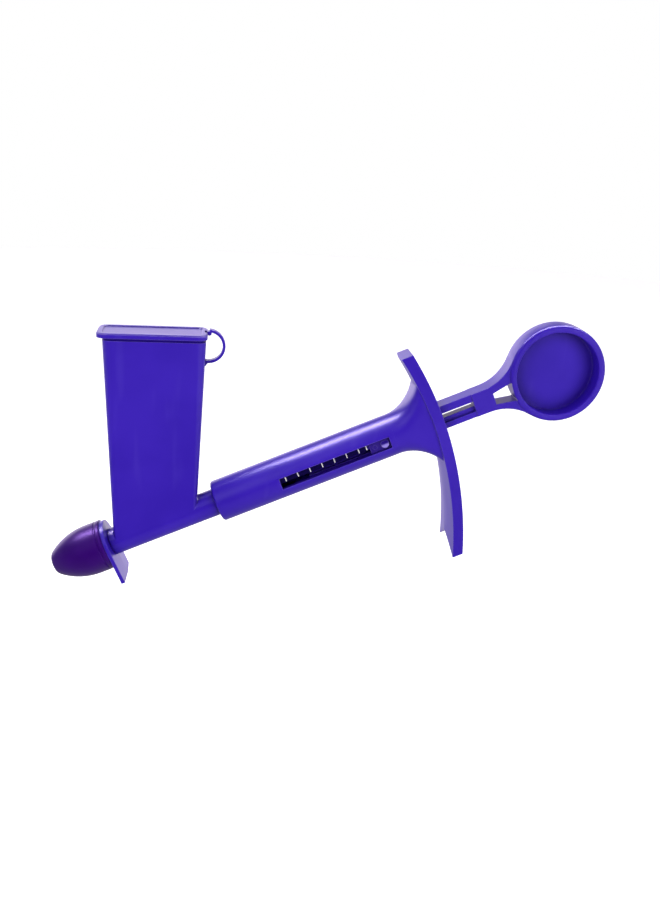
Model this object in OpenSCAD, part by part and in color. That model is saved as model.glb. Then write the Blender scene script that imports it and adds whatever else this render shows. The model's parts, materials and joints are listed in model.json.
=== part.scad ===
/* [Hopper] */
// Width of the hopper at its mouth, from side to side
hopper_top_w = 34.6; // [30:0.5:40]
// Width of the hopper where it meets the barrel
hopper_foot_w = 29.2; // [26:0.2:32]
// Depth of the hopper at its mouth, from front to back
hopper_top_d = 14.6; // [12:0.5:20]
// Height of the hopper's mouth above the barrel's axis
hopper_h = 69; // [55:1:80]
// Radius of the hopper's upright edges
hopper_edge_r = 3; // [1.5:0.25:4]
// Wall thickness of the hopper
wall = 1.5; // [1:0.1:2]

/* [Barrel] */
// Angle of the barrel above the horizontal
tilt = 23.2; // [15:0.2:30]
// Outer diameter of the barrel tube
tube_d = 9.8; // [9:0.1:11]
// Bore of the barrel tube
tube_bore = 6.8; // [6:0.1:7]

/* [Nozzle] */
// Height of the guard plate behind the nozzle
guard_h = 21.8; // [20:0.2:26]
// Width of the guard plate
guard_w = 17.2; // [14:0.5:20]
// Thickness of the guard plate
guard_t = 1.7; // [1.2:0.1:2.5]
// Outer diameter of the spout inside the cap
spout_d = 8.4; // [7:0.2:9]
// Largest diameter of the soft nozzle cap
cap_d = 18.2; // [17:0.2:20]
// Length of the soft nozzle cap
cap_l = 21; // [20:0.2:26]

/* [Lid] */
// Length of the lid
lid_w = 37; // [35:0.2:40]
// Depth of the lid
lid_d = 15.8; // [15:0.2:22]
// Thickness of the lid
lid_t = 1.7; // [1.2:0.1:2]
// Thickness of the seal between the lid and the hopper
seal_t = 0.9; // [0.8:0.1:1.8]

/* [Grip sleeve] */
// Outer diameter of the grip sleeve
sleeve_d = 15.1; // [14:0.1:17]
// Radius of the flare that runs into the finger flange
flare_r = 15; // [10:0.5:18]
// Length of the scale window
window_l = 41.6; // [36:0.2:43]
// Height of the scale window
window_h = 4.2; // [3.6:0.1:4.4]

/* [Finger flange] */
// Outer radius of the flange's curve
flange_r = 131.3; // [125:0.5:150]
// Thickness of the flange at its edges
flange_t = 3.4; // [3:0.1:4.5]
// Reach of the flange above the barrel's axis
flange_up = 26.2; // [22:0.2:30]
// Reach of the flange below the barrel's axis
flange_down = 49.4; // [40:0.2:55]
// Width of the flange at its lower end
flange_low_w = 23; // [18:0.5:26]
// Width of the flange at its upper end
flange_top_w = 10.8; // [9:0.2:14]

/* [Plunger] */
// Height of the plunger's rail section
rod_h = 8.7; // [7.5:0.1:8.8]
// Depth of the plunger's rails
rod_d = 6.8; // [6:0.1:7]
// Outer diameter of the thumb disc
disc_d = 35; // [30:0.5:40]
// Thickness of the thumb disc
disc_t = 8.7; // [7:0.1:10]
// Width of the thumb disc's rim
disc_rim = 2.55; // [2:0.05:4]
// Depth of the thumb disc's recess
disc_recess = 6.8; // [4:0.1:7.2]

/* [Hidden] */

$fn = 64;
hull_fn = 32;            // facets of the round ends inside a hull
eps = 0.01;              // overlap that keeps cuts clean
thin = 0.1;              // thickness of a hull's end slices
fit = 0.05;              // radial clearance of a sliding fit
overcut = 30;            // length of a cut that runs right through

// Places along the barrel's axis, measured from the middle of the hopper
guard_s = -16.7;         // rear face of the guard plate
spout_l = 15;            // length of the spout in front of the plate
plug_l = 3.4;            // length of the guard's plug in the tube
shoulder_s = 23.6;       // end of the tube's full diameter
sleeve_s = 23.9;         // front end of the grip sleeve
tube_end_s = 44.5;       // rear end of the tube inside the sleeve
chamber_s = 46.5;        // start of the sleeve's wide bore
window_s = 48.1;         // front end of the scale window
rail_s = 58.5;           // front end of the plunger's rails
guide_s = 100.5;         // start of the rod guide in the flange
neck_s = 122.5;          // rear end of the rails, where the neck starts
disc_s = 154.1;          // centre of the thumb disc
piston_s = -3;           // front face of the piston seal at rest

// Hopper
mouth_r = hopper_edge_r - wall;
foot_edge_r = 1.6;       // edge radius where the hopper meets the barrel
foot_narrow = 0.6;       // how much narrower than the tube the hopper's foot is
foot_s = hopper_foot_w / 2 / cos(tilt);
outlet_l = 25;           // length of the slot from the hopper into the tube
outlet_w = 5.6;          // width of that slot

// Tube and spout
insert_d = 8.8;          // diameter of the tube's end inside the sleeve
spout_bore = 4.6;
guard_ridge = 0.4;       // height of the crease along the plate's rear face
guard_low = 13.3;        // reach of the plate below the axis

// Cap
nose_flat = 2.2;         // radius of the flat at the cap's tip
nose_r = 2.8;            // rounding around that flat
cap_front = guard_s - guard_t - cap_l;
nose_s = cap_front + nose_r;
ogive_gap = 6;           // length of the cap's straight part
ogive_s = guard_s - guard_t - ogive_gap;
cap_step = cap_d / 2 - nose_flat;
// the curve from the cap's straight part to its nose is tangent to both
ogive_r = (pow(ogive_s - nose_s, 2) + pow(cap_step, 2) - pow(nose_r, 2)) / (2 * (cap_step - nose_r));
cap_bead = 0.35;         // rounding of the cap's mouth
cap_rim = 1.3;           // width of the rim at the cap's mouth
cap_groove = 0.3;        // depth and width of the groove that sets off that rim
cap_end_gap = 0.6;       // room in front of the spout's tip

// Lid
lid_x = -0.7;            // the lid's middle, off the hopper's middle
lid_z = hopper_h + seal_t;
lid_edge_r = 3.4;
lid_panel = 0.3;         // depth of the shallow panel in the lid's top
lid_border = 1.9;
plug_depth = 2.6;
plug_gap_x = 0.5;
plug_gap_y = 0.2;
plug_wall = 1.2;
seal_inset = 0.45;

// Tether
hinge_x = lid_x + lid_w / 2 + 0.55;
hinge_drop = 0.4;        // how far the hinge lies below the lid's top
hinge_z = lid_z + lid_t - hinge_drop;
bead_r = 0.75;
bead_gap = 0.1;
notch_l = 1.6;           // length of the lid's notch for the strap, from the hinge inwards
notch_floor = 0.3;       // that notch's floor, below the hinge
strap_w = 2.6;
strap_t = 0.95;
loop_r = 5.4;            // middle radius of the strap's loop
loop_x = hinge_x - 0.35;
loop_z = hinge_z - 4.5;
foot_z = 60.7;           // height of the strap's foot on the hopper
foot_h = 2.2;

// Sleeve and flange
sleeve_bore = 11.7;
sleeve_lip = 0.9;        // radius of the sleeve's front edge
window_n = -0.15;        // the window's middle, off the axis
flange_rear = 110.1;     // rearmost point of the flange
flange_s = flange_rear - flange_r;
flange_n = 0.6;
flange_ridge = 1.3;      // height of the crease along the flange's front face
flange_mid_w = 17.2;     // width of the flange at the barrel
notch_h = 6.2;           // depth of the fishtail in the flange's lower end
notch_flat = 1.6;        // width of the fishtail's blunt tip
flare_side = 0.45;       // how far the flare's sides lie inside the flange's
flare_low = 0.9;         // the flare's reach below the axis, as a share of its reach above
flare_step = 0.02;       // the flare starts this far inside the sleeve's surface
flare_square = 8;        // how square the flare becomes where it meets the flange
flare_sides = 72;
flare_start = flange_rear - flange_t - flare_r;
guide_gap = 0.2;

// Scale and slider
strip_l = 33.2;
strip_n = [-0.35, window_h / 2 + window_n - 0.05]; // lower and upper edge of the strip
strip_y = -5.5;
strip_t = 0.3;
ledge_t = 0.7;
mark_t = 0.06;
mark_w = 0.32;
mark_l = 1.9;
mark_pitch = 4.63;
mark_first = 2.2;        // first mark, from the window's front end
mark_last_gap = 2.9;     // the last step of the scale is a short one
mark_count = 7;
mark_top = 0.25;         // from the strip's upper edge down to the marks
slider_l = 7.5;
slider_gap = 0.12;
slider_face = -6.4;
slider_back = -4.5;
slider_lip = 0.45;       // lip that keeps the slider behind the window's lower edge
button_d = 1.7;
button_h = 0.25;
bump_d = 2.9;            // notched bump a fingernail pushes
bump_h = 1.4;
bump_tilt = 22;          // how far the bump's face turns upwards

// Plunger
rail_top = 2.8;          // height of the upper rail
rail_low = 2.1;          // height of the lower rail
slot_h = 2.1;            // height of the open slot under the upper rail
web_front = 2.2;         // front of the web, from the middle
web_back = 1.5;          // back of the web, from the middle
bridge_pitch = 20;       // from one bridge across the slot to the next
bridge_l = 2.5;
neck_d = 7.4;
piston_rod_d = 4.8;
spigot_d = 3;
seal_l = 6;
fillet_s = neck_s + 4.6; // where the neck starts to widen
hole_s = [neck_s + 7.6, neck_s + 15.6];
hole_front = [-2.5, 1.8]; // lower and upper corner of the hole's front end
hole_rear = [-4, 3.3];   // the same for its rear end
disc_wall = 0.6;         // how far the neck's hole cuts into the disc's edge
disc_edge = 1;           // rounding of the disc's outer edges
rim_edge = 0.4;          // rounding of the recess's edge
// the neck widens along circles that touch the neck's sides and the disc
fillet_r = (pow(disc_s - fillet_s, 2) + pow(rod_h / 2, 2) - pow(disc_d / 2, 2)) / (disc_d - rod_h);

// The frame's origin is the middle of the whole object's box
x_low = nose_s * cos(tilt) - nose_flat * sin(tilt) - nose_r;
x_high = disc_s * cos(tilt) + disc_d / 2;
z_high = disc_s * sin(tilt) + disc_d / 2;
z_low = ogive_s * sin(tilt) + (ogive_r - cap_d / 2) * cos(tilt) - ogive_r;

module in_frame() {
    translate([-(x_low + x_high) / 2, 0, -(z_low + z_high) / 2])
        children();
}

// The barrel's own frame: X runs along the axis from the nozzle to the thumb disc
module along_barrel() {
    in_frame() rotate([0, -tilt, 0]) children();
}

module rod_x(d, from, to) {
    translate([from, 0, 0]) rotate([0, 90, 0]) cylinder(d = d, h = to - from);
}

// Box given by its two corners
module block(low, high) {
    translate(low) cube(high - low);
}

module turned_x() {
    rotate([0, 90, 0]) rotate_extrude() children();
}

// A side outline in the plane of X and Z, drawn as X and Y, given a width about the middle
module side_plate(width) {
    rotate([90, 0, 0]) translate([0, 0, -width / 2]) linear_extrude(width) children();
}

module rounded_rect(w, d, r) {
    hull() for (x = [-1, 1], y = [-1, 1])
        translate([x * (w / 2 - r), y * (d / 2 - r)]) circle(r, $fn = hull_fn);
}

// Points of an arc, centre c, radius r, from angle a to angle b
function arc(c, r, a, b, steps = 16) =
    [for (i = [0:steps]) c + r * [cos(a + (b - a) * i / steps), sin(a + (b - a) * i / steps)]];

// Plan outline of the hopper or of anything that follows it
module hopper_shape(inset, edge_r, foot_w, foot_len, foot_n, top_z) {
    hull() {
        translate([0, 0, top_z - thin]) linear_extrude(thin)
            rounded_rect(hopper_top_w - 2 * inset, hopper_top_d - 2 * inset, edge_r);
        rotate([0, -tilt, 0]) translate([0, 0, foot_n]) linear_extrude(thin)
            rounded_rect(foot_len, foot_w, min(foot_edge_r, foot_w / 2 - eps));
    }
}

module hopper_body() {
    color("mediumblue") in_frame() difference() {
        union() {
            hopper_shape(0, hopper_edge_r, tube_d - foot_narrow, 2 * foot_s, 0, hopper_h);
            rotate([0, -tilt, 0]) {
                rod_x(tube_d, guard_s, shoulder_s);
                rod_x(insert_d, shoulder_s - eps, tube_end_s);
            }
        }
        hopper_shape(wall, mouth_r, outlet_w, outlet_l, 1, hopper_h + eps);
        rotate([0, -tilt, 0]) rod_x(tube_bore, guard_s - eps, tube_end_s + eps);
    }
}

// The plate is square below and round above, with a low crease up its rear face
module guard_outline() {
    side = guard_w / 2;
    top = guard_h - guard_low;
    polygon(concat([[-side, -guard_low], [side, -guard_low]], arc([0, top - side], side, 0, 180, 24)));
}

module nozzle_guard() {
    plate_front = guard_s - guard_t;
    color("mediumblue") along_barrel() difference() {
        union() {
            intersection() {
                translate([plate_front, 0, 0]) rotate([90, 0, 90])
                    linear_extrude(guard_t + guard_ridge) guard_outline();
                translate([0, 0, -guard_low]) linear_extrude(guard_h) polygon([
                    [plate_front, -guard_w / 2], [plate_front, guard_w / 2],
                    [guard_s - guard_ridge, guard_w / 2], [guard_s, 0],
                    [guard_s - guard_ridge, -guard_w / 2]]);
            }
            rod_x(spout_d, plate_front - spout_l, guard_s - guard_ridge);
            rod_x(tube_bore, guard_s - guard_ridge - eps, guard_s + plug_l);
        }
        rod_x(spout_bore, plate_front - spout_l - eps, guard_s + plug_l + eps);
    }
}

module nozzle_cap() {
    base = guard_s - guard_t;
    ogive_n = cap_d / 2 - ogive_r;
    meet = atan2(nose_s - ogive_s, nose_flat - ogive_n);
    groove_s = base - cap_rim;
    color("rebeccapurple") along_barrel() difference() {
        turned_x() polygon(concat(
            [[0, base], [cap_d / 2 - cap_bead, base], [cap_d / 2, base - cap_bead]],
            [for (i = [0:3]) let (deep = i == 1 || i == 2 ? cap_groove : 0)
                [cap_d / 2 - deep, groove_s - i * cap_groove]],
            arc([ogive_n, ogive_s], ogive_r, 0, meet, 18),
            arc([nose_flat, nose_s], nose_r, meet, -90, 8), [[0, cap_front]]));
        rod_x(spout_d + 2 * fit, base - spout_l - cap_end_gap, base + eps);
    }
}

module lid_outline(inset) {
    translate([lid_x, 0]) rounded_rect(lid_w - 2 * inset, lid_d - 2 * inset, lid_edge_r - inset);
}

module hopper_lid() {
    bevel = 0.35;
    mouth_w = hopper_top_w - 2 * wall - 2 * plug_gap_x;
    mouth_d = hopper_top_d - 2 * wall - 2 * plug_gap_y;
    notch_w = strap_w + 4 * bead_gap;
    color("mediumblue") in_frame() difference() {
        union() {
            translate([0, 0, lid_z]) linear_extrude(lid_t - bevel) lid_outline(0);
            translate([0, 0, lid_z + lid_t - bevel - eps]) linear_extrude(bevel + eps) lid_outline(bevel);
            translate([0, 0, hopper_h - plug_depth]) linear_extrude(plug_depth + seal_t + eps)
                difference() {
                    rounded_rect(mouth_w, mouth_d, mouth_r);
                    rounded_rect(mouth_w - 2 * plug_wall, mouth_d - 2 * plug_wall, mouth_r / 2);
                }
        }
        translate([0, 0, lid_z + lid_t - lid_panel]) linear_extrude(lid_t) lid_outline(lid_border);
        translate([hinge_x, 0, hinge_z]) {
            rotate([90, 0, 0]) cylinder(r = bead_r + bead_gap, h = notch_w, center = true);
            block([-notch_l, -notch_w / 2, -notch_floor], [lid_t, notch_w / 2, lid_t]);
        }
    }
}

module lid_seal() {
    color("midnightblue") in_frame() translate([0, 0, hopper_h]) linear_extrude(seal_t)
        difference() {
            rounded_rect(hopper_top_w - 2 * seal_inset, hopper_top_d - 2 * seal_inset,
                hopper_edge_r - seal_inset);
            rounded_rect(hopper_top_w - 2 * wall - 2 * plug_gap_x, hopper_top_d - 2 * wall - 2 * plug_gap_y,
                mouth_r);
        }
}

// Half width of the hopper's right-hand wall at height z
function wall_x(z) = hopper_foot_w / 2
    + (hopper_top_w - hopper_foot_w) / 2 * (z - foot_s * sin(tilt)) / (hopper_h - foot_s * sin(tilt));

module lid_tether() {
    start = atan2(hinge_z - loop_z, hinge_x - loop_x);
    stop = -96;
    root = [loop_x, loop_z] + loop_r * [cos(stop), sin(stop)];
    color("mediumblue") in_frame() {
        side_plate(strap_w) polygon(concat(
            arc([loop_x, loop_z], loop_r + strap_t / 2, start, stop, 28),
            arc([loop_x, loop_z], loop_r - strap_t / 2, stop, start, 28)));
        side_plate(strap_w) translate([hinge_x, hinge_z]) circle(bead_r);
        side_plate(strap_w) polygon([[wall_x(foot_z + foot_h / 2), foot_z + foot_h / 2],
            root + [strap_t, strap_t] / 2, root + [strap_t, -strap_t] / 2,
            [wall_x(foot_z - foot_h / 2), foot_z - foot_h / 2]]);
    }
}

// Half width of the flange at height n over the axis: a curve through its three given widths
function flange_half(n) = let (reach = n < 0 ? -n / flange_down : n / flange_up,
        end = (n < 0 ? flange_low_w : flange_top_w) / 2)
    flange_mid_w / 2 + (end - flange_mid_w / 2) * (reach + pow(reach, 2)) / 2;

module flange_outline() {
    steps = 20;
    right = [for (i = [0:steps]) let (n = -flange_down + (flange_up + flange_down) * i / steps)
        [flange_half(n), n]];
    left = [for (i = [0:steps]) [-right[steps - i][0], right[steps - i][1]]];
    polygon(concat([[-notch_flat / 2, notch_h - flange_down], [notch_flat / 2, notch_h - flange_down]],
        right, left));
}

// Everything between the flange's front and rear curves, with the crease along its front
module flange_band() {
    edge_r = flange_r - flange_t;
    half = max(flange_low_w, flange_mid_w) * 0.6;
    from = -26;          // the band's ends, past those of the flange
    to = 16;
    translate([flange_s, 0, flange_n]) rotate([90, 0, 0]) rotate(from)
        rotate_extrude(angle = to - from, $fn = 360)
            polygon([[flange_r, -half], [flange_r, half],
                [edge_r, half], [edge_r - flange_ridge, 0], [edge_r, -half]]);
}

// One ring of the flare, at angle a of its fillet: from the sleeve's circle towards the flange's outline
function flare_ring(a) = let (grow = 1 - cos(a), power = 2 + flare_square * grow,
        half = sleeve_d / 2 - flare_step)
    [for (i = [0:flare_sides - 1]) let (t = 360 * i / flare_sides,
            reach = half + flare_r * grow * (t > 180 ? flare_low : 1),
            n = reach * sign(sin(t)) * pow(abs(sin(t)), 2 / power),
            side = half + (flange_half(n) - flare_side - half) * grow)
        [flare_start + flare_r * sin(a), side * sign(cos(t)) * pow(abs(cos(t)), 2 / power), n]];

module flare() {
    first = [for (q = flare_ring(0)) q - [flare_step * 20, 0, 0]];
    rings = concat([first], [for (a = [0:6:90]) flare_ring(a)]);
    last = len(rings) - 1;
    polyhedron([for (ring = rings) each ring], concat(
        [[for (i = [0:flare_sides - 1]) i]],
        [for (k = [0:last - 1], i = [0:flare_sides - 1]) let (m = (i + 1) % flare_sides)
            each [[k * flare_sides + i, (k + 1) * flare_sides + i, (k + 1) * flare_sides + m],
                [k * flare_sides + i, (k + 1) * flare_sides + m, k * flare_sides + m]]],
        [[for (i = [flare_sides - 1:-1:0]) last * flare_sides + i]]));
}

module grip_sleeve() {
    rear = flange_rear + 2;
    color("mediumblue") along_barrel() difference() {
        union() {
            turned_x() polygon(concat([[0, sleeve_s], [sleeve_d / 2 - sleeve_lip, sleeve_s]],
                arc([sleeve_d / 2 - sleeve_lip, sleeve_s + sleeve_lip], sleeve_lip, -90, 0, 6),
                [[sleeve_d / 2, flare_start], [0, flare_start]]));
            flare();
            intersection() {
                flange_band();
                rotate([90, 0, 90]) linear_extrude(rear) flange_outline();
            }
        }
        rod_x(insert_d + 2 * fit, sleeve_s - eps, chamber_s + eps);
        rod_x(sleeve_bore, chamber_s, guide_s);
        block([guide_s - eps, -rod_d / 2 - guide_gap, -rod_h / 2 - guide_gap],
            [rear, rod_d / 2 + guide_gap, rod_h / 2 + guide_gap]);
        block([window_s, -sleeve_d, window_n - window_h / 2],
            [window_s + window_l, 0, window_n + window_h / 2]);
    }
    color("mediumblue") along_barrel() scale_ledge();
}

// A rib across the top of the window that carries the printed strip
module scale_ledge() {
    intersection() {
        rod_x(sleeve_bore + 2 * eps, window_s - 1, window_s + strip_l + 1);
        block([window_s - 1, strip_y, strip_n[0]],
            [window_s + strip_l + 1, strip_y + ledge_t, sleeve_bore / 2]);
    }
}

module scale_strip() {
    color("black") along_barrel() block([window_s + strip_t, strip_y - strip_t, strip_n[0]],
        [window_s + strip_l, strip_y, strip_n[1]]);
}

module scale_marks() {
    color("white") along_barrel() for (i = [0:mark_count]) {
        s = window_s + mark_first + mark_pitch * min(i, mark_count - 1)
            + (i == mark_count ? mark_last_gap : 0);
        high = strip_n[1] - mark_top;
        block([s - mark_w / 2, strip_y - strip_t - mark_t, high - mark_l],
            [s + mark_w / 2, strip_y - strip_t, high]);
    }
}

module dose_slider() {
    rear = window_s + window_l - slider_gap;
    front = rear - slider_l;
    low = window_n - window_h / 2 + slider_gap;
    high = window_n + window_h / 2 - slider_gap;
    over_marks = strip_y - strip_t - mark_t - slider_gap;
    end_inset = 1.9;     // from each end to the middle of its boss
    color("darkblue") along_barrel() {
        block([front, slider_face, low], [rear, over_marks, high]);
        block([front, over_marks - eps, low], [rear, slider_back, strip_n[0] - slider_gap]);
        block([front, slider_back - slider_lip, low - slider_lip], [rear, slider_back, low + eps]);
        translate([front + end_inset, slider_face, window_n]) rotate([90, 0, 0])
            cylinder(d = button_d, h = button_h, center = true);
        intersection() {
            translate([rear - end_inset, slider_face, window_n]) rotate([90 - bump_tilt, 0, 0])
                difference() {
                    cylinder(d = bump_d, h = bump_h, center = true);
                    translate([0, bump_d * 0.6, 0]) cylinder(d = bump_d / 2, h = 2 * bump_h, center = true);
                }
            block([front, slider_face - bump_h, low], [rear, slider_face + eps, high]);
        }
    }
}

module rails() {
    low = -rod_h / 2;
    web_top = rod_h / 2 - rail_top - slot_h;
    block([rail_s, -rod_d / 2, rod_h / 2 - rail_top], [neck_s + eps, rod_d / 2, rod_h / 2]);
    block([rail_s, -rod_d / 2, low], [neck_s + eps, rod_d / 2, low + rail_low]);
    block([rail_s, -web_front, low], [neck_s + eps, web_back, web_top]);
    for (i = [0:2])
        block([rail_s + i * bridge_pitch, -web_front, low],
            [rail_s + i * bridge_pitch + bridge_l, web_back, rod_h / 2 - eps]);
}

module neck_outline() {
    half = rod_h / 2;
    difference() {
        polygon([[neck_s, -half], [fillet_s, -half], [disc_s, -disc_d / 2], [disc_s, disc_d / 2],
            [fillet_s, half], [neck_s, half]]);
        for (side = [-1, 1]) translate([fillet_s, side * (half + fillet_r)])
            circle(fillet_r, $fn = 128);
    }
}

module neck_hole() {
    difference() {
        polygon([[hole_s[0], hole_front[1]], [hole_s[1], hole_rear[1]],
            [hole_s[1], hole_rear[0]], [hole_s[0], hole_front[0]]]);
        translate([disc_s, 0]) circle(disc_d / 2 - disc_wall, $fn = 128);
    }
}

// The thumb disc, with its axis along Y and its recess at the front
module thumb_disc() {
    r = disc_d / 2;
    rim_r = r - disc_rim;
    front = disc_t / 2;
    translate([disc_s, 0, 0]) rotate([90, 0, 0]) rotate_extrude($fn = 128) polygon(concat(
        [[0, -front]],
        arc([r - disc_edge, disc_edge - front], disc_edge, -90, 0, 5),
        arc([r - disc_edge, front - disc_edge], disc_edge, 0, 90, 5),
        arc([rim_r + rim_edge, front - rim_edge], rim_edge, 90, 180, 4),
        [[rim_r, front - disc_recess], [0, front - disc_recess]]));
}

module plunger_rod() {
    color("mediumblue") along_barrel() difference() {
        union() {
            rod_x(piston_rod_d, piston_s + seal_l, rail_s + 1);
            rod_x(spigot_d, piston_s + 1, piston_s + seal_l + eps);
            rails();
            side_plate(neck_d) difference() {
                neck_outline();
                translate([disc_s, 0]) circle(disc_d / 2 - disc_rim / 2, $fn = 128);
            }
            thumb_disc();
        }
        side_plate(overcut) neck_hole();
    }
}

module piston_seal() {
    r = tube_bore / 2 - fit;
    waist = r - 0.5;
    color("midnightblue") along_barrel() difference() {
        turned_x() polygon([[0, piston_s], [r - 0.9, piston_s], [r, piston_s + 1.1],
            [r, piston_s + 1.8], [waist, piston_s + 2.3], [waist, piston_s + 3.7],
            [r, piston_s + 4.2], [r, piston_s + 5.2], [r - 0.5, piston_s + seal_l], [0, piston_s + seal_l]]);
        rod_x(spigot_d, piston_s + 1, piston_s + seal_l + eps);
    }
}

hopper_body();
nozzle_guard();
nozzle_cap();
hopper_lid();
lid_seal();
lid_tether();
grip_sleeve();
scale_strip();
scale_marks();
dose_slider();
plunger_rod();
piston_seal();
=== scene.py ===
"""Oral syringe with a feed hopper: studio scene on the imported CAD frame."""
import json
import math

import bpy
from mathutils import Matrix, Vector


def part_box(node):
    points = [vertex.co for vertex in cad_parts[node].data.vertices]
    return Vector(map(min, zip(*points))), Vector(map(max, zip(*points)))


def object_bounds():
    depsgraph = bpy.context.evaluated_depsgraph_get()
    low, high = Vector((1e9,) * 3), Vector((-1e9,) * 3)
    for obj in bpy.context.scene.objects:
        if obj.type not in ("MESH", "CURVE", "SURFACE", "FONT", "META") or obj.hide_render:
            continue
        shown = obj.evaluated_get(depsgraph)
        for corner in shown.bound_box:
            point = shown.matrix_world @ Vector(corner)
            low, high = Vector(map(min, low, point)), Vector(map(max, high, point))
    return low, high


MM = 0.001

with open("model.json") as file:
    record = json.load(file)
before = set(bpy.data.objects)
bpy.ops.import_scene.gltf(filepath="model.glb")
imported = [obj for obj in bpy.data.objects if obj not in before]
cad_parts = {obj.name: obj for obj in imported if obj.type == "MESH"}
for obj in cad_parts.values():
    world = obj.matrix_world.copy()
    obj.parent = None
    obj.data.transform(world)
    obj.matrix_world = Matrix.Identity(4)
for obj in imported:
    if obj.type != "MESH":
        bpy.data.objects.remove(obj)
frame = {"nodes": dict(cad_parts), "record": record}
nodes = frame["nodes"]
mounts = {m["name"]: m for m in frame["record"]["mounts"]}
CAD_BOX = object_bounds()
LOW, HIGH = CAD_BOX
CENTRE = (LOW + HIGH) / 2

# Colours, linear. DEEP and PALE are the darkest and the lightest tone of the same plastic; DEEP also
# sets the painted shade in corners and PALE the painted highlight on edges, and GLEAM tints what a
# surface mirrors.
VIOLET = (0.038, 0.010, 0.462)
VIOLET_DEEP = (0.029, 0.006, 0.408)
VIOLET_PALE = (0.190, 0.130, 0.760)
SLIDER_BLUE = (0.018, 0.002, 0.240)
SLIDER_DEEP = (0.014, 0.001, 0.190)
# Painted highlight on the front of the slider's bump
BUMP_HIGHLIGHT_PALE = (0.36, 0.28, 0.85)
SHELL_GLEAM = (0.86, 0.72, 1.0)
CAP_PURPLE = (0.034, 0.001, 0.160)
CAP_DEEP = (0.024, 0.0005, 0.125)
CAP_GLEAM = (0.42, 0.16, 0.90)
SEAL_BLUE = (0.016, 0.003, 0.190)
SEAL_GLEAM = (0.30, 0.25, 1.0)
# Black of the scale strip: a printed band whose black also stands in for the shade inside the window
# (painted shade).
STRIP_INK_AND_SHADE = (0.004, 0.001, 0.055)
CHALK = (0.900, 0.900, 0.900)
STUDIO_TINT = (0.97, 0.88, 1.0)

# How far each bump texture stands up, in metres
GRAIN_H = 0.0006 * MM
PEEL_H = 0.0006 * MM
CLOUD_H = 0.002 * MM
STIPPLE_H = 0.03 * MM
SKIN_H = 0.010 * MM
LUMPS_H = 0.012 * MM
INK_H = 0.006 * MM

# Thumb disc
RIM = 2.55 * MM
RECESS = 6.8 * MM
STIPPLE_INSET = 0.6 * MM
PANEL_FADE = 0.4 * MM      # the stipple fades out over this width
PANEL_DEPTH = (0.1 * MM, 0.3 * MM)  # and over these distances from the floor

EDGE_R = 0.5 * MM          # radius over which an edge of the shell looks rounded and gets a pale painted highlight
SOFT_EDGE_R = 0.3 * MM     # the same for rubber
# Reach and strength of the painted shade in corners and recesses
CREVICE_SHADE_REACH = 7 * MM
CREVICE_SHADE_MOST = 0.62
BUMP_HEAD = 0.6 * MM       # how far the painted highlight on the slider's bump reaches back
WELD_GAP = 0.002 * MM
SPLIT_ANGLE = math.radians(32)

# Camera: the view from the front, a little to the left of the object and above it, with its
# angles in degrees
AZIMUTH = -7.16
ELEVATION = 18.5
ROLL = 3.15
DISTANCE = 360.1 * MM
AIM = CENTRE + Vector((1.07, 0, 0.41)) * MM
LENS = 40.0
SENSOR = 36.0

FLOOR_DROP = 40 * MM
FLOOR_R = 1.2
FLOOR_GLOW = 0.70


# ---------------------------------------------------------------- nodes

def link(tree, source, target):
    tree.links.new(source, target)


def add(tree, kind, **values):
    """A node with its properties and its unlinked inputs set."""
    node = tree.nodes.new(kind)
    for key, value in values.items():
        if key in node.inputs:
            node.inputs[key].default_value = value
        else:
            setattr(node, key, value)
    return node


def noise(tree, where, scale, detail=3.0, rough=0.5):
    node = add(tree, "ShaderNodeTexNoise", Scale=scale, Detail=detail, Roughness=rough)
    link(tree, where, node.inputs["Vector"])
    return node.outputs["Fac"]


def spread(tree, value, low, high):
    """Maps a 0 to 1 value to low to high."""
    node = tree.nodes.new("ShaderNodeMapRange")
    link(tree, value, node.inputs["Value"])
    node.inputs["To Min"].default_value = low
    node.inputs["To Max"].default_value = high
    return node.outputs["Result"]


def band(tree, value, start, end):
    """0 before start, 1 after end, smooth between."""
    node = tree.nodes.new("ShaderNodeMapRange")
    node.interpolation_type = "SMOOTHSTEP"
    link(tree, value, node.inputs["Value"])
    node.inputs["From Min"].default_value = start
    node.inputs["From Max"].default_value = end
    return node.outputs["Result"]


def math_node(tree, operation, a, b=None):
    node = add(tree, "ShaderNodeMath", operation=operation)
    for socket, value in zip(node.inputs, (a, b)):
        if value is None:
            continue
        if isinstance(value, (int, float)):
            socket.default_value = value
        else:
            link(tree, value, socket)
    return node.outputs["Value"]


def ramp(tree, amount, a, b):
    """Colour a at 0, colour b at 1."""
    node = tree.nodes.new("ShaderNodeValToRGB")
    node.color_ramp.elements[0].color = (*a, 1)
    node.color_ramp.elements[1].color = (*b, 1)
    link(tree, amount, node.inputs["Fac"])
    return node.outputs["Color"]


def blend(tree, amount, first, second):
    """First colour output at 0, second at 1."""
    node = tree.nodes.new("ShaderNodeMix")
    node.data_type = "RGBA"
    link(tree, amount, node.inputs[0])
    for index, value in ((6, first), (7, second)):
        if isinstance(value, tuple):
            node.inputs[index].default_value = (*value, 1)
        else:
            link(tree, value, node.inputs[index])
    return node.outputs[2]


# ---------------------------------------------------------------- materials

def start_material(name):
    material = bpy.data.materials.new(name)
    material.use_nodes = True
    tree = material.node_tree
    tree.nodes.clear()
    out = tree.nodes.new("ShaderNodeOutputMaterial")
    shader = tree.nodes.new("ShaderNodeBsdfPrincipled")
    link(tree, shader.outputs["BSDF"], out.inputs["Surface"])
    where = tree.nodes.new("ShaderNodeTexCoord").outputs["Object"]
    return material, tree, shader, where


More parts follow.
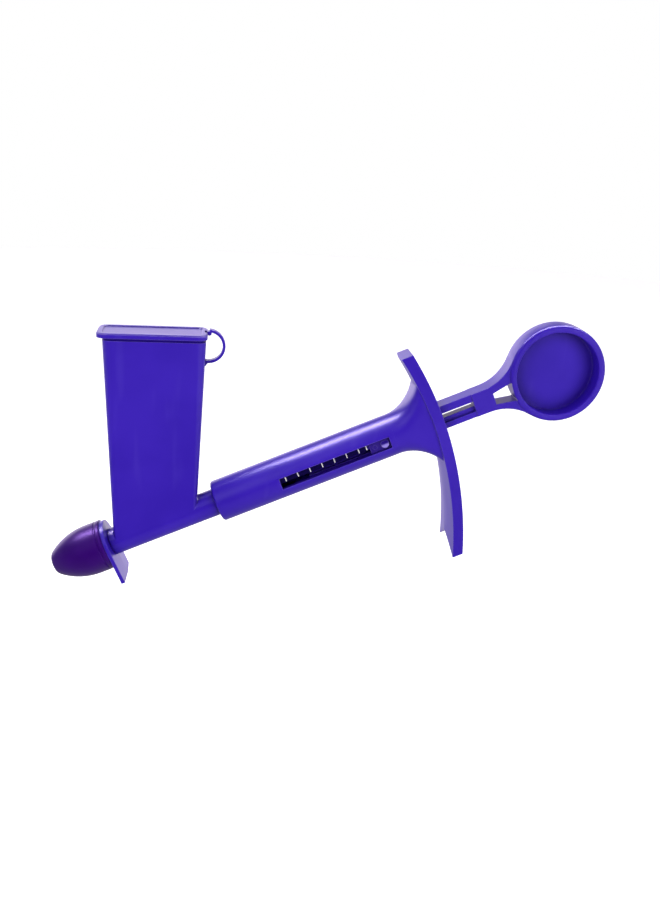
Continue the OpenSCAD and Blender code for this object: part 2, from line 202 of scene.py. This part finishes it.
def edges(tree, radius):
    """(rounded normal, 0 on flats to 1 on edges)."""
    soft = add(tree, "ShaderNodeBevel", samples=6, Radius=radius).outputs["Normal"]
    hard = tree.nodes.new("ShaderNodeNewGeometry").outputs["Normal"]
    dot = add(tree, "ShaderNodeVectorMath", operation="DOT_PRODUCT")
    link(tree, soft, dot.inputs[0])
    link(tree, hard, dot.inputs[1])
    mask = band(tree, math_node(tree, "SUBTRACT", 1.0, dot.outputs["Value"]), 0.01, 0.18)
    return soft, mask


def crevice_shade(tree, reach, most):
    """Painted shade from ambient occlusion: 0 in the open, up to most in corners and recesses."""
    node = add(tree, "ShaderNodeAmbientOcclusion", samples=6, Distance=reach)
    return spread(tree, band(tree, node.outputs["AO"], 0.25, 0.95), most, 0.0)


def relief(tree, shader, heights, normal=None):
    """Adds up (height output, depth in metres) pairs as one bump."""
    total = None
    for height, depth in heights:
        part = math_node(tree, "MULTIPLY", height, depth)
        total = part if total is None else math_node(tree, "ADD", total, part)
    bump = add(tree, "ShaderNodeBump", Strength=1.0, Distance=1.0)
    link(tree, total, bump.inputs["Height"])
    if normal is not None:
        link(tree, normal, bump.inputs["Normal"])
    link(tree, bump.outputs["Normal"], shader.inputs["Normal"])


def moulded_plastic(name, base, deep, pale, rough=(0.30, 0.38), panel=None, proud=None):
    """Satin injection-moulded plastic: faint flow marks, a spark-eroded grain, painted highlights on
    the edges and painted shade in corners and recesses. panel is the thumb disc's floor (centre,
    radius, Y), which is stippled.
    proud is the Y in front of which the surface is painted pale as a highlight."""
    material, tree, shader, where = start_material(name)
    shader.inputs["IOR"].default_value = 1.5
    shader.inputs["Specular Tint"].default_value = (*SHELL_GLEAM, 1)
    cloud = noise(tree, where, 38.0, 4.0)
    flow_map = add(tree, "ShaderNodeMapping", Scale=(1.0, 1.0, 0.16))
    link(tree, where, flow_map.inputs["Vector"])
    flow = noise(tree, flow_map.outputs["Vector"], 160.0, 2.0)
    grain = noise(tree, where, 2600.0, 2.0, 0.6)
    peel = noise(tree, where, 420.0, 2.0)
    gloss_and_highlight_patches = noise(tree, where, 90.0, 5.0, 0.65)
    soft, edge = edges(tree, EDGE_R)

    tone = band(tree, cloud, 0.35, 0.68)
    colour = ramp(tree, tone, deep, base)
    streaks = math_node(tree, "MULTIPLY", band(tree, flow, 0.56, 0.74), 0.07)
    colour = blend(tree, streaks, colour, pale)
    # Painted highlight: edges are lightened towards the pale tone, in patches.
    edge_highlight = math_node(tree, "MULTIPLY", edge, spread(tree, gloss_and_highlight_patches, 0.30, 1.00))
    colour = blend(tree, math_node(tree, "MULTIPLY", edge_highlight, 0.85), colour, pale)
    # Painted shade: corners and recesses are darkened towards a quarter of the deep tone.
    shade = tuple(c * 0.25 for c in deep)
    colour = blend(tree, crevice_shade(tree, CREVICE_SHADE_REACH, CREVICE_SHADE_MOST), colour, shade)
    if proud is not None:
        # Painted highlight: the front of the slider's bump is lightened.
        parts = tree.nodes.new("ShaderNodeSeparateXYZ")
        link(tree, where, parts.inputs["Vector"])
        behind = band(tree, parts.outputs["Y"], proud - BUMP_HEAD / 2, proud)
        bump_highlight = math_node(tree, "MULTIPLY", math_node(tree, "SUBTRACT", 1.0, behind), 0.9)
        colour = blend(tree, bump_highlight, colour, BUMP_HIGHLIGHT_PALE)
    gloss = math_node(tree, "ADD", spread(tree, gloss_and_highlight_patches, *rough), spread(tree, grain, -0.02, 0.02))
    heights = [(grain, GRAIN_H), (peel, PEEL_H), (cloud, CLOUD_H)]

    if panel is not None:
        centre, radius, floor = panel
        disc = disc_mask(tree, where, centre, radius, floor)
        gloss = math_node(tree, "ADD", gloss, math_node(tree, "MULTIPLY", disc, 0.22))
        stipple = noise(tree, where, 1500.0, 3.0, 0.7)
        heights.append((math_node(tree, "MULTIPLY", stipple, disc), STIPPLE_H))

    link(tree, colour, shader.inputs["Base Color"])
    link(tree, gloss, shader.inputs["Roughness"])
    relief(tree, shader, heights, soft)
    return material


def disc_mask(tree, where, centre, radius, floor):
    """1 on the thumb disc's floor, a circle about centre in the plane of X and Z, 0 elsewhere."""
    away = add(tree, "ShaderNodeVectorMath", operation="SUBTRACT")
    link(tree, where, away.inputs[0])
    away.inputs[1].default_value = centre
    parts = tree.nodes.new("ShaderNodeSeparateXYZ")
    link(tree, away.outputs["Vector"], parts.inputs["Vector"])
    across = math_node(tree, "MULTIPLY", parts.outputs["X"], parts.outputs["X"])
    along = math_node(tree, "MULTIPLY", parts.outputs["Z"], parts.outputs["Z"])
    distance = math_node(tree, "SQRT", math_node(tree, "ADD", across, along))
    outside = band(tree, distance, radius - PANEL_FADE, radius)
    inside = math_node(tree, "SUBTRACT", 1.0, outside)
    depth = math_node(tree, "ABSOLUTE", math_node(tree, "SUBTRACT", parts.outputs["Y"], floor))
    level = math_node(tree, "SUBTRACT", 1.0, band(tree, depth, *PANEL_DEPTH))
    return math_node(tree, "MULTIPLY", inside, level)


def silicone(name, base, deep, rough, tint):
    """Soft rubber: an even skin with a fine grain, faint bloom, a light sheen and painted highlights
    along edges.
    """
    material, tree, shader, where = start_material(name)
    shader.inputs["IOR"].default_value = 1.5
    shader.inputs["Specular IOR Level"].default_value = 0.60
    shader.inputs["Specular Tint"].default_value = (*tint, 1)
    shader.inputs["Subsurface Weight"].default_value = 0.08
    shader.inputs["Subsurface Radius"].default_value = (0.8 * MM, 0.2 * MM, 1.2 * MM)
    shader.inputs["Subsurface Scale"].default_value = 1.0
    cloud = noise(tree, where, 70.0, 4.0)
    skin = noise(tree, where, 1800.0, 3.0, 0.65)
    lumps = noise(tree, where, 240.0, 2.0)
    soft, edge = edges(tree, SOFT_EDGE_R)
    colour = ramp(tree, band(tree, cloud, 0.3, 0.7), deep, base)
    # Painted highlight: edges are lightened a little.
    colour = blend(tree, math_node(tree, "MULTIPLY", edge, 0.25), colour,
                   tuple(min(1.0, c * 1.6) for c in base))
    link(tree, colour, shader.inputs["Base Color"])
    link(tree, spread(tree, skin, *rough), shader.inputs["Roughness"])
    relief(tree, shader, [(skin, SKIN_H), (lumps, LUMPS_H)], soft)
    return material


def printed(name, base, rough, mottle):
    """A thin printed film: matt, with slightly uneven ink."""
    material, tree, shader, where = start_material(name)
    shader.inputs["Specular IOR Level"].default_value = 0.06
    cloud = noise(tree, where, 900.0, 4.0, 0.6)
    colour = ramp(tree, cloud, tuple(c * (1 - mottle) for c in base), base)
    link(tree, colour, shader.inputs["Base Color"])
    link(tree, spread(tree, cloud, *rough), shader.inputs["Roughness"])
    relief(tree, shader, [(cloud, INK_H)])
    return material


def dress(node, material):
    slots = nodes[node].data.materials
    slots.clear()
    slots.append(material)


def smooth(node):
    """Rounds the shading of curved faces and leaves true edges sharp."""
    mesh = nodes[node].data
    for face in mesh.polygons:
        face.use_smooth = True
    weld = nodes[node].modifiers.new("weld", "WELD")
    weld.merge_threshold = WELD_GAP
    split = nodes[node].modifiers.new("edges", "EDGE_SPLIT")
    split.split_angle = SPLIT_ANGLE


disc_back = Vector(mounts["thumb_disc_back"]["pos_m"])
disc_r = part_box("plunger_rod")[1].x - disc_back.x
disc_floor = RECESS - disc_back.y
slider_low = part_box("dose_slider")[0]

shell = moulded_plastic("shell_plastic", VIOLET, VIOLET_DEEP, VIOLET_PALE)
plunger_shell = moulded_plastic(
    "plunger_plastic", VIOLET, VIOLET_DEEP, VIOLET_PALE,
    panel=(Vector((disc_back.x, 0, disc_back.z)), disc_r - RIM - STIPPLE_INSET, disc_floor))
slider_plastic = moulded_plastic(
    "slider_plastic", SLIDER_BLUE, SLIDER_DEEP, VIOLET_PALE, proud=slider_low.y + BUMP_HEAD)
cap_silicone = silicone("cap_silicone", CAP_PURPLE, CAP_DEEP, (0.32, 0.41), CAP_GLEAM)
seal_rubber = silicone("seal_rubber", SEAL_BLUE, SEAL_BLUE, (0.45, 0.6), SEAL_GLEAM)
# The scale strip's black is print and painted shade of the window's inside.
ink = printed("strip_ink_and_painted_shade", STRIP_INK_AND_SHADE, (0.55, 0.70), 0.3)
chalk = printed("mark_ink", CHALK, (0.5, 0.7), 0.12)

FINISH = {
    "hopper_body": shell, "nozzle_guard": shell, "hopper_lid": shell, "lid_tether": shell,
    "grip_sleeve": shell, "plunger_rod": plunger_shell, "dose_slider": slider_plastic,
    "nozzle_cap": cap_silicone, "lid_seal": seal_rubber, "piston_seal": seal_rubber,
    "scale_strip": ink, "scale_marks": chalk,
}
for node_name, finish in FINISH.items():
    dress(node_name, finish)
    smooth(node_name)


# ---------------------------------------------------------------- studio

def floor():
    bpy.ops.mesh.primitive_circle_add(vertices=96, radius=FLOOR_R, fill_type="NGON",
                                      location=(CENTRE.x, CENTRE.y, LOW.z - FLOOR_DROP))
    plane = bpy.context.object
    plane.name = "floor"
    material, tree, shader, where = start_material("pale_floor")
    mottle = noise(tree, where, 6.0, 3.0)
    link(tree, ramp(tree, mottle, (0.90, 0.90, 0.90), (0.93, 0.93, 0.93)), shader.inputs["Base Color"])
    shader.inputs["Roughness"].default_value = 0.9
    shader.inputs["Emission Color"].default_value = (1, 1, 1, 1)
    shader.inputs["Emission Strength"].default_value = FLOOR_GLOW
    plane.data.materials.append(material)
    plane.visible_glossy = False
    plane.visible_diffuse = False


def softbox(name, azimuth, elevation, distance, size, watts, gleam=False):
    """An area light aimed at the object, placed by angle: azimuth 0 is in front, 90 at the right.
    A gleam is only seen mirrored in the surfaces, and the other lights never are."""
    a, e = math.radians(azimuth), math.radians(elevation)
    away = Vector((math.sin(a) * math.cos(e), -math.cos(a) * math.cos(e), math.sin(e)))
    data = bpy.data.lights.new(name, "AREA")
    data.shape = "RECTANGLE"
    data.size, data.size_y = size
    data.energy = watts
    lamp = bpy.data.objects.new(name, data)
    lamp.location = CENTRE + away * distance
    lamp.rotation_euler = (-away).to_track_quat("-Z", "Y").to_euler()
    lamp.visible_camera = False
    lamp.visible_glossy = gleam
    lamp.visible_diffuse = not gleam
    bpy.context.scene.collection.objects.link(lamp)


def studio_world():
    """White all round for the eye. The object itself sees a bright wall behind it, a pale table
    below and a dim room in front: each is a level by direction, and the brightest one counts."""
    world = bpy.data.worlds.new("studio")
    bpy.context.scene.world = world
    world.use_nodes = True
    tree = world.node_tree
    tree.nodes.clear()
    out = tree.nodes.new("ShaderNodeOutputWorld")
    seen = add(tree, "ShaderNodeBackground", Color=(1, 1, 1, 1), Strength=1.0)
    lighting = add(tree, "ShaderNodeBackground", Color=(*STUDIO_TINT, 1))
    direction = tree.nodes.new("ShaderNodeTexCoord").outputs["Generated"]
    parts = tree.nodes.new("ShaderNodeSeparateXYZ")
    link(tree, direction, parts.inputs["Vector"])
    x, y, z = (parts.outputs[axis] for axis in "XYZ")
    behind = band(tree, y, 0.35, 0.80)
    low_wall = spread(tree, band(tree, z, -0.46, -0.02), 0.90, 2.60)
    top_edge = spread(tree, band(tree, z, 0.25, 0.42), 1.0, 0.08)
    right_end = math_node(tree, "MULTIPLY", band(tree, x, 0.10, 0.32), band(tree, z, -0.05, 0.10))
    wall = math_node(tree, "MULTIPLY", behind, math_node(tree, "MULTIPLY", low_wall, top_edge))
    wall = math_node(tree, "MULTIPLY", wall, spread(tree, right_end, 1.0, 0.25))
    side_top = spread(tree, band(tree, z, 0.0, 0.4), 1.0, 0.1)
    side = math_node(tree, "MULTIPLY", band(tree, x, 0.55, 0.90), side_top)
    table = spread(tree, band(tree, z, -0.36, -0.06), 0.50, 0.02)
    ceiling = spread(tree, band(tree, z, 0.30, 0.80), 0.0, 0.22)
    level = table
    for part in (wall, side, ceiling):
        level = math_node(tree, "MAXIMUM", level, part)
    link(tree, level, lighting.inputs["Strength"])
    choose = tree.nodes.new("ShaderNodeMixShader")
    link(tree, tree.nodes.new("ShaderNodeLightPath").outputs["Is Camera Ray"], choose.inputs["Fac"])
    link(tree, lighting.outputs["Background"], choose.inputs[1])
    link(tree, seen.outputs["Background"], choose.inputs[2])
    link(tree, choose.outputs["Shader"], out.inputs["Surface"])


def camera():
    a, e = math.radians(AZIMUTH), math.radians(ELEVATION)
    back = Vector((math.sin(a) * math.cos(e), -math.cos(a) * math.cos(e), math.sin(e)))
    data = bpy.data.cameras.new("camera")
    data.lens = LENS
    data.sensor_width = SENSOR
    data.clip_start, data.clip_end = 0.01, 20
    eye = bpy.data.objects.new("camera", data)
    turn = (-back).to_track_quat("-Z", "Y").to_matrix() @ Matrix.Rotation(math.radians(ROLL), 3, "Z")
    eye.matrix_world = Matrix.Translation(AIM + back * DISTANCE) @ turn.to_4x4()
    bpy.context.scene.collection.objects.link(eye)
    bpy.context.scene.camera = eye


floor()
softbox("key", -40, 20, 0.80, (0.50, 0.50), 3.4)
softbox("fill", 34, 6, 0.95, (0.60, 0.60), 5.4)
softbox("top", 180, 80, 0.80, (0.60, 0.60), 3.0)
softbox("left", -98, -4, 0.90, (0.50, 0.50), 2.6)
softbox("strip", 180, 77, 0.70, (1.60, 0.20), 36.0, gleam=True)
studio_world()
camera()
bpy.context.scene.view_settings.view_transform = "Standard"
